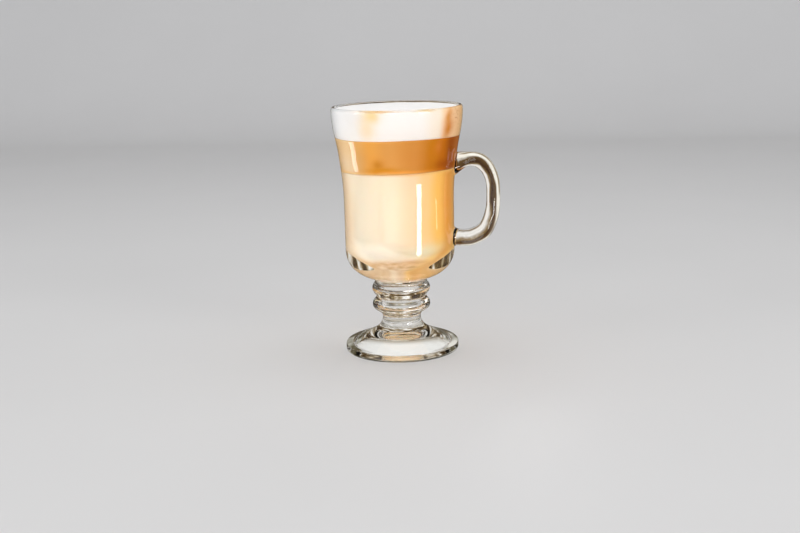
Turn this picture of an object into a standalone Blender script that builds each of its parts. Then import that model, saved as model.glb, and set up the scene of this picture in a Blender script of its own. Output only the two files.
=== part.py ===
"""A cappuccino in a footed glass mug: milk, coffee and milk foam lie in three layers.

The mug is one piece of pressed glass: a conical foot, a stem with two beads, a tall bowl
that opens towards its lip, and a loop handle on the +X side. The drink is three solids
that fill the bowl from its rounded bottom to just under the brim.

Run it with: blender --background --python part.py
"""
import math

import bmesh
import bpy
import numpy as np

MM = 0.001

# Driving dimensions of the mug
HEIGHT = 146.0 * MM
RIM_RADIUS = 38.45 * MM         # widest, just under the lip
BODY_RADIUS = 32.45 * MM
FOOT_RADIUS = 33.9 * MM
NECK_RADIUS = 11.4 * MM
BEAD_RADIUS = 17.3 * MM
GROOVE_RADIUS = 14.5 * MM
WAIST_RADIUS = 15.1 * MM
WALL = 3.3 * MM
LIP_THICKNESS = 2.7 * MM

# Heights along the mug's own axis
FOOT_EDGE = 4.9 * MM
NECK_HEIGHT = 20.2 * MM
LOWER_BEAD = 27.6 * MM
GROOVE_HEIGHT = 32.5 * MM
UPPER_BEAD = 37.5 * MM
WAIST_HEIGHT = 42.2 * MM
BODY_BOTTOM = 62.0 * MM
BODY_TOP = 88.0 * MM
RIM_HEIGHT = 142.4 * MM
CAVITY_BOTTOM = 54.8 * MM
CAVITY_SHOULDER = 71.8 * MM     # the inside is straight from here up to BODY_TOP

# The foot's underside: a flat ring to stand on, round a hollow that follows the cone above
RING_INNER = 28.2 * MM
RING_OUTER = 32.8 * MM
HOLLOW_HEIGHT = 8.0 * MM

# The handle
HANDLE_REACH = 59.8 * MM        # its outermost point, from the mug's axis
HANDLE_TOP = 118.4 * MM
HANDLE_BOTTOM = 62.8 * MM
HANDLE_WIDTH = 11.2 * MM        # across, along Y
HANDLE_ROOT_WIDTH = 13.6 * MM
HANDLE_SQUARENESS = 2.4         # 2 is an ellipse, more is boxier

# Levels of the drink
MILK_TOP = 109.3 * MM
COFFEE_TOP = 128.7 * MM
FOAM_TOP = 145.6 * MM
FOAM_DOME = 1.0 * MM            # how far the foam's middle stands above its edge
GAP = 0.3 * MM                  # between one solid and the next

# Fineness
SEGMENTS = 56                   # round the mug; a multiple of four
SPAN_STEPS = 4                  # along each stretch of a profile
HANDLE_SIDES = 16
HANDLE_STEPS = 5
DRINK_STEPS = 5

# The handle stands out to +X, and the whole is centred on the origin
AXIS_X = -(HANDLE_REACH - RIM_RADIUS) / 2

# A quarter circle's Bezier handle, as a share of its chord
ROUND = 0.39


def clear_scene():
    for thing in list(bpy.data.objects):
        bpy.data.objects.remove(thing, do_unlink=True)


def stretch(start, end, steps):
    """Points of the cubic Bezier curve between two stations, without the last one.

    A station is (across, up, lean in, lean out): the curve arrives along the first lean and
    leaves along the second, in degrees, with 0 straight outwards and 90 straight up.
    """
    p0 = np.array(start[:2])
    p3 = np.array(end[:2])
    reach = ROUND * np.linalg.norm(p3 - p0)
    leave = math.radians(start[3])
    arrive = math.radians(end[2])
    p1 = p0 + reach * np.array([math.cos(leave), math.sin(leave)])
    p2 = p3 - reach * np.array([math.cos(arrive), math.sin(arrive)])
    t = np.linspace(0.0, 1.0, steps, endpoint=False)[:, None]
    return (1 - t) ** 3 * p0 + 3 * (1 - t) ** 2 * t * p1 + 3 * (1 - t) * t ** 2 * p2 + t ** 3 * p3


def smooth(across, up, lean):
    """A station that the curve passes without a corner."""
    return (across, up, lean, lean)


def outline(stations, steps):
    """The curve through all stations; steps is one number, or one for each stretch."""
    if isinstance(steps, int):
        steps = [steps] * (len(stations) - 1)
    pieces = [stretch(a, b, n) for a, b, n in zip(stations, stations[1:], steps)]
    return np.vstack(pieces + [np.array([stations[-1][:2]])])


def outer_profile():
    """The mug's outside from the middle of its underside to the top of its lip."""
    stations = [
        (0.0, HOLLOW_HEIGHT, 0, 0),
        (RING_INNER, 0.0, -36, 0),
        (RING_OUTER, 0.0, 0, 0),
        smooth(FOOT_RADIUS, 1.2 * MM, 90),
        smooth(FOOT_RADIUS, 3.7 * MM, 90),
        smooth(32.9 * MM, FOOT_EDGE, 159),
        smooth(19.6 * MM, 10.3 * MM, 155),
        smooth(NECK_RADIUS, NECK_HEIGHT, 90),
        smooth(BEAD_RADIUS, LOWER_BEAD, 90),
        (GROOVE_RADIUS, GROOVE_HEIGHT, 125, 55),
        smooth(BEAD_RADIUS, UPPER_BEAD, 90),
        (WAIST_RADIUS, WAIST_HEIGHT, 118, 42),
        smooth(25.0 * MM, 47.6 * MM, 34),
        smooth(BODY_RADIUS, BODY_BOTTOM, 90),
        smooth(BODY_RADIUS, BODY_TOP, 90),
        smooth(34.6 * MM, 117.0 * MM, 83),
        smooth(RIM_RADIUS, RIM_HEIGHT, 88),
        smooth(RIM_RADIUS - LIP_THICKNESS / 2, HEIGHT, 180),
    ]
    steps = [4, 1, 2, 1, 2, SPAN_STEPS, 5, 5, SPAN_STEPS, SPAN_STEPS, SPAN_STEPS, 3, 6, 2, 4, 4, 4]
    return outline(stations, steps)


def inner_profile():
    """The bowl's inside from the top of the lip down to the middle of its bottom."""
    stations = [
        smooth(RIM_RADIUS - LIP_THICKNESS / 2, HEIGHT, 180),
        smooth(RIM_RADIUS - LIP_THICKNESS, RIM_HEIGHT + 1.2 * MM, -96),
        smooth(34.6 * MM - WALL * 0.94, 117.0 * MM, -97),
        smooth(BODY_RADIUS - WALL, BODY_TOP, -90),
        smooth(BODY_RADIUS - WALL, CAVITY_SHOULDER, -90),
        smooth(21.0 * MM, 59.4 * MM, -149.5),
        smooth(0.0, CAVITY_BOTTOM, 180),
    ]
    return outline(stations, [3, 4, 4, 2, 5, 4])


def turned(name, profile):
    """A solid of revolution from a profile that starts and ends on the axis."""
    shape = bmesh.new()
    points = [shape.verts.new((across, 0.0, up)) for across, up in profile]
    edges = [shape.edges.new(pair) for pair in zip(points, points[1:])]
    bmesh.ops.spin(shape, geom=points + edges, cent=(0, 0, 0), axis=(0, 0, 1),
                   angle=2 * math.pi, steps=SEGMENTS, use_merge=True)
    bmesh.ops.remove_doubles(shape, verts=shape.verts, dist=1e-6)
    bmesh.ops.recalc_face_normals(shape, faces=shape.faces)
    mesh = bpy.data.meshes.new(name)
    shape.to_mesh(mesh)
    shape.free()
    return mesh


def handle_edges(outside):
    """The handle's outer and inner edge in the XZ plane, from the upper root to the lower."""
    def in_wall(up):
        return np.interp(up, outside[:, 1], outside[:, 0]) - WALL / 2

    outer = [
        smooth(in_wall(HANDLE_TOP), HANDLE_TOP, 0),
        smooth(38.5 * MM, HANDLE_TOP, 0),
        smooth(45.0 * MM, 118.3 * MM, -4),
        smooth(56.3 * MM, 110.4 * MM, -62),
        smooth(HANDLE_REACH, 92.0 * MM, -90),
        smooth(56.2 * MM, 73.0 * MM, -114),
        smooth(48.6 * MM, 65.3 * MM, -157),
        smooth(40.5 * MM, HANDLE_BOTTOM, -178),
        smooth(in_wall(HANDLE_BOTTOM), HANDLE_BOTTOM, 180),
    ]
    inner = [
        smooth(in_wall(102.0 * MM), 102.0 * MM, 68),
        smooth(36.6 * MM, 107.2 * MM, 40),
        smooth(42.4 * MM, 110.2 * MM, 2),
        smooth(49.6 * MM, 105.6 * MM, -60),
        smooth(51.7 * MM, 92.0 * MM, -90),
        smooth(49.7 * MM, 80.0 * MM, -110),
        smooth(44.3 * MM, 73.9 * MM, -156),
        smooth(37.6 * MM, 72.3 * MM, 178),
        smooth(in_wall(75.5 * MM), 75.5 * MM, 128),
    ]
    return outline(outer, HANDLE_STEPS), outline(inner, HANDLE_STEPS)


def handle_mesh(outside):
    """Rounded sections strung between the two edges; both ends stop inside the wall."""
    outer, inner = handle_edges(outside)
    middle = (outer + inner) / 2
    half = (outer - inner) / 2
    along = np.linspace(-1.0, 1.0, len(middle))
    width = HANDLE_WIDTH + (HANDLE_ROOT_WIDTH - HANDLE_WIDTH) * np.abs(along) ** 8
    around = np.arange(HANDLE_SIDES) * 2 * math.pi / HANDLE_SIDES
    power = 2 / HANDLE_SQUARENESS
    out = np.sign(np.cos(around)) * np.abs(np.cos(around)) ** power
    side = np.sign(np.sin(around)) * np.abs(np.sin(around)) ** power
    rings = np.zeros((len(middle), HANDLE_SIDES, 3))
    rings[:, :, 0] = middle[:, :1] + half[:, :1] * out
    rings[:, :, 1] = width[:, None] / 2 * side
    rings[:, :, 2] = middle[:, 1:] + half[:, 1:] * out
    faces = []
    for ring in range(len(middle) - 1):
        for corner in range(HANDLE_SIDES):
            a = ring * HANDLE_SIDES + corner
            b = ring * HANDLE_SIDES + (corner + 1) % HANDLE_SIDES
            faces.append((a, b, b + HANDLE_SIDES, a + HANDLE_SIDES))
    last = (len(middle) - 1) * HANDLE_SIDES
    faces.append(tuple(range(HANDLE_SIDES))[::-1])
    faces.append(tuple(range(last, last + HANDLE_SIDES)))
    mesh = bpy.data.meshes.new("handle")
    mesh.from_pydata(rings.reshape(-1, 3), [], faces)
    shape = bmesh.new()
    shape.from_mesh(mesh)
    bmesh.ops.recalc_face_normals(shape, faces=shape.faces)
    shape.to_mesh(mesh)
    shape.free()
    return mesh


def drink_side(inside, low, high):
    """The side of a layer: the bowl's inside between two levels, a gap clear of it."""
    up = np.linspace(low, high, DRINK_STEPS)
    across = np.interp(up, inside[::-1, 1], inside[::-1, 0]) - GAP
    return np.column_stack([across, up])


def milk_profile(inside):
    """The rounded bottom of the bowl, a gap clear of it all over, then the side and the level."""
    bowl = inside[inside[:, 1] < CAVITY_SHOULDER + 0.5 * MM][::-1]
    slope = np.gradient(bowl, axis=0)
    slope /= np.linalg.norm(slope, axis=1)[:, None]
    normal = np.column_stack([-slope[:, 1], slope[:, 0]])
    bottom = bowl + GAP * normal
    bottom[0, 0] = 0.0
    side = drink_side(inside, bottom[-1, 1] + 4 * MM, MILK_TOP)
    return np.vstack([bottom, side, [[0.0, MILK_TOP]]])


def coffee_profile(inside):
    side = drink_side(inside, MILK_TOP + GAP, COFFEE_TOP)
    return np.vstack([[[0.0, MILK_TOP + GAP]], side, [[0.0, COFFEE_TOP]]])


def foam_profile(inside):
    """A thick head: above the lip's widening its edge goes straight up, and its middle swells."""
    side = drink_side(inside, COFFEE_TOP + GAP, RIM_HEIGHT + 1.2 * MM)
    edge = side[-1, 0]
    side = np.vstack([side, [[edge, FOAM_TOP - FOAM_DOME]]])
    share = np.array([0.93, 0.8, 0.6, 0.35])
    dome = FOAM_TOP - FOAM_DOME * share ** 2
    crown = np.column_stack([edge * share, dome])
    return np.vstack([[[0.0, COFFEE_TOP + GAP]], side, crown, [[0.0, FOAM_TOP]]])


def finish(name, colour, roughness, transmission=0.0):
    material = bpy.data.materials.new(name)
    material.use_nodes = True
    shader = material.node_tree.nodes["Principled BSDF"]
    shader.inputs["Base Color"].default_value = (*colour, 1.0)
    shader.inputs["Roughness"].default_value = roughness
    shader.inputs["Metallic"].default_value = 0.0
    shader.inputs["Transmission Weight"].default_value = transmission
    return material


def place(name, mesh, material, parent):
    body = bpy.data.objects.new(name, mesh)
    bpy.context.collection.objects.link(body)
    body.parent = parent
    mesh.materials.append(material)
    mesh.shade_smooth()
    mesh.set_sharp_from_angle(angle=math.radians(40))
    return body


def build():
    clear_scene()
    axis = bpy.data.objects.new("mug_axis", None)
    axis.location = (AXIS_X, 0.0, 0.0)
    bpy.context.collection.objects.link(axis)

    outside = outer_profile()
    inside = inner_profile()
    clear_glass = finish("clear_glass", (1.0, 1.0, 1.0), 0.02, transmission=1.0)
    glass = place("glass", turned("glass", np.vstack([outside, inside[1:]])), clear_glass, axis)

    # The handle is fused to the bowl
    handle = place("handle_guide", handle_mesh(outside), clear_glass, axis)
    handle.hide_render = True
    handle.display_type = 'WIRE'
    fuse = glass.modifiers.new("fuse_handle", 'BOOLEAN')
    fuse.operation = 'UNION'
    fuse.solver = 'EXACT'
    fuse.object = handle

    place("milk", turned("milk", milk_profile(inside)),
          finish("milk_cream", (0.98, 0.80, 0.58), 0.35), axis)
    place("coffee", turned("coffee", coffee_profile(inside)),
          finish("milky_coffee", (0.66, 0.28, 0.06), 0.3), axis)
    place("foam", turned("foam", foam_profile(inside)),
          finish("milk_foam", (0.96, 0.93, 0.88), 0.6), axis)


build()
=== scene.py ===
# %% [markdown]
# A cappuccino in a footed glass mug: cream-coloured milk, caramel-brown coffee and white foam
# lie in three layers behind clear pressed glass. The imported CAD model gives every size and
# place. This file makes the surfaces that are seen: one smooth glass, and three drink pieces
# that reach a fifth of a millimetre into its wall, as a real liquid wets the wall.

# %% Load the fixed frame
import math

import bmesh
import bpy
import numpy as np
from mathutils import Matrix, Vector


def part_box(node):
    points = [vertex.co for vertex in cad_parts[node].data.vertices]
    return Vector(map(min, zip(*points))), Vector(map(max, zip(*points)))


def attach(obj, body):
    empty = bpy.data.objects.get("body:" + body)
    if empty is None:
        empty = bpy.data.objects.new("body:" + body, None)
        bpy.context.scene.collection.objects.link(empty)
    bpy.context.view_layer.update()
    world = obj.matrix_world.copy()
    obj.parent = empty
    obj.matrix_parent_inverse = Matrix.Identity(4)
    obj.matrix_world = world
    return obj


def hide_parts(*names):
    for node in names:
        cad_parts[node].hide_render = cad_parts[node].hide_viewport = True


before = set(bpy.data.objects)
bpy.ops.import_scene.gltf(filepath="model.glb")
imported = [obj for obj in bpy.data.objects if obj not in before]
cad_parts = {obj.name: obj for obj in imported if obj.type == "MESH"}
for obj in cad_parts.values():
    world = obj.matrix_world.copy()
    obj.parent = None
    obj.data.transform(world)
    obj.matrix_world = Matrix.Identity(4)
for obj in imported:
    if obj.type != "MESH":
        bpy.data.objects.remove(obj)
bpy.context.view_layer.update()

MM = 0.001

# %% [markdown]
# Everything turns round the mug's own axis, so the first numbers come from the boxes of the
# CAD nodes. The milk is round, and the middle of its box is the axis. The handle reaches out
# along +X, which is why the axis is not at the origin.

# %% Sizes read from the frame
GLASS_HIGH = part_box("glass")[1]
MILK_LOW, MILK_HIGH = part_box("milk")
COFFEE_LOW, COFFEE_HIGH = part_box("coffee")
FOAM_LOW, FOAM_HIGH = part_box("foam")
AXIS_X = (MILK_LOW[0] + MILK_HIGH[0]) / 2
HEIGHT = GLASS_HIGH[2]
RIM_RADIUS = GLASS_HIGH[1]
HANDLE_REACH = GLASS_HIGH[0] - AXIS_X
MILK_LEVEL = (MILK_HIGH[2] + COFFEE_LOW[2]) / 2
COFFEE_LEVEL = (COFFEE_HIGH[2] + FOAM_LOW[2]) / 2
FOAM_LEVEL = FOAM_HIGH[2]
print("axis", AXIS_X, "rim", RIM_RADIUS, "levels", MILK_LEVEL, COFFEE_LEVEL, FOAM_LEVEL)

# %% [markdown]
# The boxes give only the outermost sizes. The others were judged from the photograph or from
# what such mugs have. They are the numbers that the CAD part is built from, so that this
# surface lies on its solids.

# %% Sizes that no box gives
BODY_RADIUS = 32.45 * MM
FOOT_RADIUS = 33.9 * MM
NECK_RADIUS = 11.4 * MM
BEAD_RADIUS = 17.3 * MM
GROOVE_RADIUS = 14.5 * MM
WAIST_RADIUS = 15.1 * MM
HOLLOW_RADIUS = 28.2 * MM
HOLLOW_HEIGHT = 8.0 * MM
WALL = 3.3 * MM
LIP_THICKNESS = 2.7 * MM
RIM_HEIGHT = 142.4 * MM
FLARE_RADIUS = 34.6 * MM        # half way up the bowl's opening part
FLARE_HEIGHT = 117.0 * MM
BODY_TOP = 88.0 * MM
BODY_BOTTOM = 62.0 * MM
CAVITY_BOTTOM = 54.8 * MM
CAVITY_SHOULDER = 71.8 * MM
HANDLE_TOP = 118.4 * MM
HANDLE_BOTTOM = 62.8 * MM
UPPER_ROOT_LOW = 102.0 * MM     # where the handle's inner edge leaves the bowl
LOWER_ROOT_HIGH = 75.5 * MM

# %% [markdown]
# The camera comes early, because every later choice is judged through it. It stands at the
# photograph's viewing angle: a little above the rim, six degrees to the handle's side, and
# rolled a degree and a half. Distance, height, angles and lens were fitted to the arcs of the
# rim and the foot. The matrix holds the picture's right, its up and the way back from the lens.

# %% Camera
CAMERA_DISTANCE = 0.68          # from the mug's axis
CAMERA_HEIGHT = 0.1997
CAMERA_ASIDE = math.radians(6.0)
CAMERA_PITCH = math.radians(12.42)
CAMERA_YAW = math.radians(-0.03)
CAMERA_ROLL = math.radians(-1.47)
LENS_MM = 52.3
SENSOR_MM = 36.0


def make_camera():
    """Direction = (sin yaw cos pitch, cos yaw cos pitch, -sin pitch), then rolled about itself."""
    heading = CAMERA_YAW - CAMERA_ASIDE
    ahead = np.array([math.sin(heading) * math.cos(CAMERA_PITCH),
                      math.cos(heading) * math.cos(CAMERA_PITCH), -math.sin(CAMERA_PITCH)])
    right = np.cross(ahead, (0.0, 0.0, 1.0))
    right /= np.linalg.norm(right)
    up = np.cross(right, ahead)
    roll_right = math.cos(CAMERA_ROLL) * right + math.sin(CAMERA_ROLL) * up
    roll_up = -math.sin(CAMERA_ROLL) * right + math.cos(CAMERA_ROLL) * up
    lens = bpy.data.cameras.new("camera")
    lens.lens = LENS_MM
    lens.sensor_width = SENSOR_MM
    camera = bpy.data.objects.new("camera", lens)
    bpy.context.collection.objects.link(camera)
    matrix = np.eye(4)
    matrix[:3, 0] = roll_right
    matrix[:3, 1] = roll_up
    matrix[:3, 2] = -ahead
    matrix[:3, 3] = (AXIS_X + CAMERA_DISTANCE * math.sin(CAMERA_ASIDE),
                     -CAMERA_DISTANCE * math.cos(CAMERA_ASIDE), CAMERA_HEIGHT)
    camera.matrix_world = Matrix(matrix.tolist())
    return camera


bpy.context.scene.camera = make_camera()
print("camera at", [round(value, 3) for value in bpy.context.scene.camera.matrix_world.translation])

# %% [markdown]
# A turned thing is drawn as half of its outline and then spun. The outline is a chain of
# Bezier curves between stations. A station says how far out, how far up, and under which
# lean the curve comes in and goes out, so a smooth place needs one lean and a corner two.

# %% Outlines from stations
ROUND = 0.39                    # a quarter circle's Bezier handle, as a share of its chord


def smooth(across, up, lean):
    """A station that the curve passes without a corner; lean is in degrees from outwards."""
    return (across, up, lean, lean)


def outline(stations, steps=40):
    """Cubic Bezier pieces (1-t)^3 A + 3(1-t)^2 t B + 3(1-t) t^2 C + t^3 D from station to
    station, with B and C along the leans at 0.39 of the chord."""
    t = np.linspace(0.0, 1.0, steps, endpoint=False)[:, None]
    pieces = []
    for start, end in zip(stations, stations[1:]):
        a, d = np.array(start[:2]), np.array(end[:2])
        reach = ROUND * np.linalg.norm(d - a)
        leave, arrive = math.radians(start[3]), math.radians(end[2])
        b = a + reach * np.array([math.cos(leave), math.sin(leave)])
        c = d - reach * np.array([math.cos(arrive), math.sin(arrive)])
        pieces.append((1 - t) ** 3 * a + 3 * (1 - t) ** 2 * t * b
                      + 3 * (1 - t) * t ** 2 * c + t ** 3 * d)
    return np.vstack(pieces + [np.array([stations[-1][:2]])])


# %% [markdown]
# A curve from stations has points where its parameter says, which is dense in short pieces
# and sparse in long ones. So it is read again at even steps, softened like glass in a flame,
# and last thinned out: many points where it bends, few where it runs straight.

# %% Even, softened and thinned curves
def along(curve):
    """Arc length at each point of a polyline."""
    return np.concatenate([[0.0], np.cumsum(np.linalg.norm(np.diff(curve, axis=0), axis=1))])


def even(curve, step):
    """The same polyline with points one step apart, read at equal arc lengths."""
    length = along(curve)
    at = np.linspace(0.0, length[-1], int(math.ceil(length[-1] / step)) + 1)
    return np.column_stack([np.interp(at, length, curve[:, k]) for k in range(curve.shape[1])])


def soften(curve, passes):
    """Fire polishing: each inner point moves to a quarter, a half and a quarter of its
    neighbourhood, again and again, which rounds the corners and leaves the long curves."""
    curve = curve.copy()
    for _ in range(passes):
        curve[1:-1] = 0.25 * curve[:-2] + 0.5 * curve[1:-1] + 0.25 * curve[2:]
    return curve


def thin_out(curve, span, turn):
    """Keeps points where they are needed: the measure is length / span plus bend / turn,
    and the points that stay are one unit of it apart."""
    step = np.diff(curve, axis=0)
    heading = np.unwrap(np.arctan2(step[:, 1], step[:, 0]))
    bend = np.concatenate([[0.0], np.abs(np.diff(heading)), [0.0]])
    measure = along(curve) / span + np.cumsum(bend) / math.radians(turn)
    at = np.linspace(0.0, measure[-1], int(round(measure[-1])) + 1)
    return np.column_stack([np.interp(at, measure, curve[:, k]) for k in range(2)])


# %% [markdown]
# The mug's outline runs from the middle of its underside out to the foot's edge, up the
# conical foot, over the stem's two beads and up the bowl to the lip, and then down the
# inside. The grooves and the foot's edge were drawn as corners; pressed glass is polished
# with a flame, so they are softened by a few tenths of a millimetre.

# %% Outline of the mug
def outer_outline():
    """The outside, from the middle of the underside to the top of the lip."""
    return outline([
        (0.0, HOLLOW_HEIGHT, 0, 0),
        (HOLLOW_RADIUS, 0.0, -36, 0),
        (32.8 * MM, 0.0, 0, 0),
        smooth(FOOT_RADIUS, 1.2 * MM, 90),
        smooth(FOOT_RADIUS, 3.7 * MM, 90),
        smooth(32.9 * MM, 4.9 * MM, 159),
        smooth(19.6 * MM, 10.3 * MM, 155),
        smooth(NECK_RADIUS, 20.2 * MM, 90),
        smooth(BEAD_RADIUS, 27.6 * MM, 90),
        (GROOVE_RADIUS, 32.5 * MM, 125, 55),
        smooth(BEAD_RADIUS, 37.5 * MM, 90),
        (WAIST_RADIUS, 42.2 * MM, 118, 42),
        smooth(25.0 * MM, 47.6 * MM, 34),
        smooth(BODY_RADIUS, BODY_BOTTOM, 90),
        smooth(BODY_RADIUS, BODY_TOP, 90),
        smooth(FLARE_RADIUS, FLARE_HEIGHT, 83),
        smooth(RIM_RADIUS, RIM_HEIGHT, 88),
        smooth(RIM_RADIUS - LIP_THICKNESS / 2, HEIGHT, 180),
    ])


def inner_outline():
    """The inside, from the top of the lip to the middle of the bowl's bottom."""
    return outline([
        smooth(RIM_RADIUS - LIP_THICKNESS / 2, HEIGHT, 180),
        smooth(RIM_RADIUS - LIP_THICKNESS, RIM_HEIGHT + 1.2 * MM, -96),
        smooth(FLARE_RADIUS - WALL * 0.94, FLARE_HEIGHT, -97),
        smooth(BODY_RADIUS - WALL, BODY_TOP, -90),
        smooth(BODY_RADIUS - WALL, CAVITY_SHOULDER, -90),
        smooth(21.0 * MM, 59.4 * MM, -149.5),
        smooth(0.0, CAVITY_BOTTOM, 180),
    ])


FINE = 0.15 * MM
OUTSIDE_PASSES, INSIDE_PASSES = 6, 4
OUTSIDE = soften(even(outer_outline(), FINE), OUTSIDE_PASSES)
INSIDE = soften(even(inner_outline(), FINE), INSIDE_PASSES)
print("outline", len(OUTSIDE), "points outside,", len(INSIDE), "inside")


def outside_radius(up):
    """The bowl's outer radius at a height, read between the points of the outline."""
    bowl = OUTSIDE[OUTSIDE[:, 1] > 50 * MM]
    return np.interp(up, bowl[:, 1], bowl[:, 0])


def inside_radius(up):
    """The bowl's inner radius at a height; the inside runs downwards, so it is read backwards."""
    return np.interp(up, INSIDE[::-1, 1], INSIDE[::-1, 0])


# %% [markdown]
# One helper turns a sheet of points into a mesh. The sheet has rows and columns: the columns
# go round and close on themselves, and a first or last row that lies on the axis shrinks to
# a single pole, so no seam and no hole is left. The faces are worked out as whole arrays.

# %% Sheets of points to meshes
def ring_faces(first_row, rows, columns):
    """Corner numbers of the quads between neighbouring rows of points that close round."""
    row = np.arange(rows - 1)[:, None] * columns + first_row
    here = np.arange(columns)[None, :]
    there = (here + 1) % columns
    return np.stack([row + here, row + there, row + columns + there, row + columns + here],
                    axis=-1).reshape(-1, 4)


def closed_mesh(name, sheet, pole_low=None, pole_high=None):
    """A closed mesh from rows x columns x 3 points; each end gets a pole, or a flat cap."""
    rows, columns = sheet.shape[:2]
    points = [sheet.reshape(-1, 3)]
    faces = ring_faces(0, rows, columns).tolist()
    here = np.arange(columns)
    there = (here + 1) % columns
    last = (rows - 1) * columns
    count = rows * columns
    if pole_low is None:
        faces.append(here[::-1].tolist())
    else:
        points.append([pole_low])
        faces += np.column_stack([there, here, np.full(columns, count)]).tolist()
        count += 1
    if pole_high is None:
        faces.append((here + last).tolist())
    else:
        points.append([pole_high])
        faces += np.column_stack([here + last, there + last, np.full(columns, count)]).tolist()
    mesh = bpy.data.meshes.new(name)
    mesh.from_pydata(np.vstack(points), [], faces)
    mesh.update()
    return mesh


def put(name, mesh):
    """An object at the origin, smooth shaded, with its place in its mesh."""
    piece = bpy.data.objects.new(name, mesh)
    bpy.context.collection.objects.link(piece)
    mesh.shade_smooth()
    return piece


def turned_sheet(profile, turns):
    """Point (row, column) = axis + radius (cos a, sin a) at the row's height, a = column's turn."""
    angle = np.arange(turns) * 2 * math.pi / turns
    sheet = np.empty((len(profile), turns, 3))
    sheet[:, :, 0] = AXIS_X + profile[:, :1] * np.cos(angle)
    sheet[:, :, 1] = profile[:, :1] * np.sin(angle)
    sheet[:, :, 2] = profile[:, 1:]
    return sheet


# %% [markdown]
# The handle is a rounded rod whose thickness changes along it: 8 mm at the top and the side,
# nearly 10 mm below, with a large fillet under its upper root. So it is drawn as two edges,
# the outer and the inner one, and a rounded section is strung between each pair of points.
# The section is a superellipse, a circle that leans towards a square, as a hand-pressed rod is.

# %% Handle
HANDLE_WIDTH = 11.2 * MM
HANDLE_ROOT_WIDTH = 13.6 * MM
HANDLE_SQUARENESS = 2.4
HANDLE_SIDES = 48
HANDLE_STEPS = 16
HANDLE_PASSES = 8


def handle_edges():
    """Outer and inner edge in the XZ plane, from the upper root to the lower one."""
    def in_wall(up):
        """The middle of the bowl's wall at a height."""
        return float(outside_radius(up)) - WALL / 2

    outer = [
        smooth(in_wall(HANDLE_TOP), HANDLE_TOP, 0),
        smooth(38.5 * MM, HANDLE_TOP, 0),
        smooth(45.0 * MM, 118.3 * MM, -4),
        smooth(56.3 * MM, 110.4 * MM, -62),
        smooth(HANDLE_REACH, 92.0 * MM, -90),
        smooth(56.2 * MM, 73.0 * MM, -114),
        smooth(48.6 * MM, 65.3 * MM, -157),
        smooth(40.5 * MM, HANDLE_BOTTOM, -178),
        smooth(in_wall(HANDLE_BOTTOM), HANDLE_BOTTOM, 180),
    ]
    inner = [
        smooth(in_wall(UPPER_ROOT_LOW), UPPER_ROOT_LOW, 68),
        smooth(36.6 * MM, 107.2 * MM, 40),
        smooth(42.4 * MM, 110.2 * MM, 2),
        smooth(49.6 * MM, 105.6 * MM, -60),
        smooth(51.7 * MM, 92.0 * MM, -90),
        smooth(49.7 * MM, 80.0 * MM, -110),
        smooth(44.3 * MM, 73.9 * MM, -156),
        smooth(37.6 * MM, 72.3 * MM, 178),
        smooth(in_wall(LOWER_ROOT_HIGH), LOWER_ROOT_HIGH, 128),
    ]
    return outline(outer, HANDLE_STEPS), outline(inner, HANDLE_STEPS)


def handle_sheet():
    """Section point = middle + half gap x |cos|^(2/n) + half width x |sin|^(2/n), with signs."""
    outer, inner = handle_edges()
    outer, inner = soften(outer, HANDLE_PASSES), soften(inner, HANDLE_PASSES)
    middle = (outer + inner) / 2
    half = (outer - inner) / 2
    place = np.linspace(-1.0, 1.0, len(middle))
    width = HANDLE_WIDTH + (HANDLE_ROOT_WIDTH - HANDLE_WIDTH) * np.abs(place) ** 8
    around = np.arange(HANDLE_SIDES) * 2 * math.pi / HANDLE_SIDES
    power = 2 / HANDLE_SQUARENESS
    out = np.sign(np.cos(around)) * np.abs(np.cos(around)) ** power
    side = np.sign(np.sin(around)) * np.abs(np.sin(around)) ** power
    sheet = np.empty((len(middle), HANDLE_SIDES, 3))
    sheet[:, :, 0] = AXIS_X + middle[:, :1] + half[:, :1] * out
    sheet[:, :, 1] = width[:, None] / 2 * side
    sheet[:, :, 2] = middle[:, 1:] + half[:, 1:] * out
    return sheet


# %% [markdown]
# Light bends where it enters glass, so the bowl and its handle have to be one closed skin:
# two skins that cross would show a wall inside the glass. A Boolean union joins them, and the
# seam is then relaxed, because hot glass flows into a small fillet where the handle was set.

# %% Tools for a skin
def outward(mesh):
    """Makes sure that the faces point out: the sum of centre x normal x area is positive."""
    mesh.update()
    count = len(mesh.polygons)
    centre, normal, area = np.empty(count * 3), np.empty(count * 3), np.empty(count)
    mesh.polygons.foreach_get("center", centre)
    mesh.polygons.foreach_get("normal", normal)
    mesh.polygons.foreach_get("area", area)
    volume = ((centre.reshape(-1, 3) * normal.reshape(-1, 3)).sum(axis=1) * area).sum() / 3
    if volume < 0:
        mesh.flip_normals()
    return abs(volume)


def apply_modifiers(piece):
    """Keeps the shape that the modifiers give and drops the modifiers."""
    bpy.context.view_layer.update()
    shown = piece.evaluated_get(bpy.context.evaluated_depsgraph_get())
    mesh = bpy.data.meshes.new_from_object(shown)
    piece.modifiers.clear()
    piece.data = mesh
    return mesh


# %% [markdown]
# The union leaves slivers and faces with many corners where the two skins cross, which could
# split badly into triangles later. They are cleaned first. Then a weight says where the seam
# is, so that only its own few millimetres are relaxed and the rest of the mug stays as drawn.

# %% Seam between handle and bowl
SLIVER = 0.03 * MM
FILLET = 3.0 * MM


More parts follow.
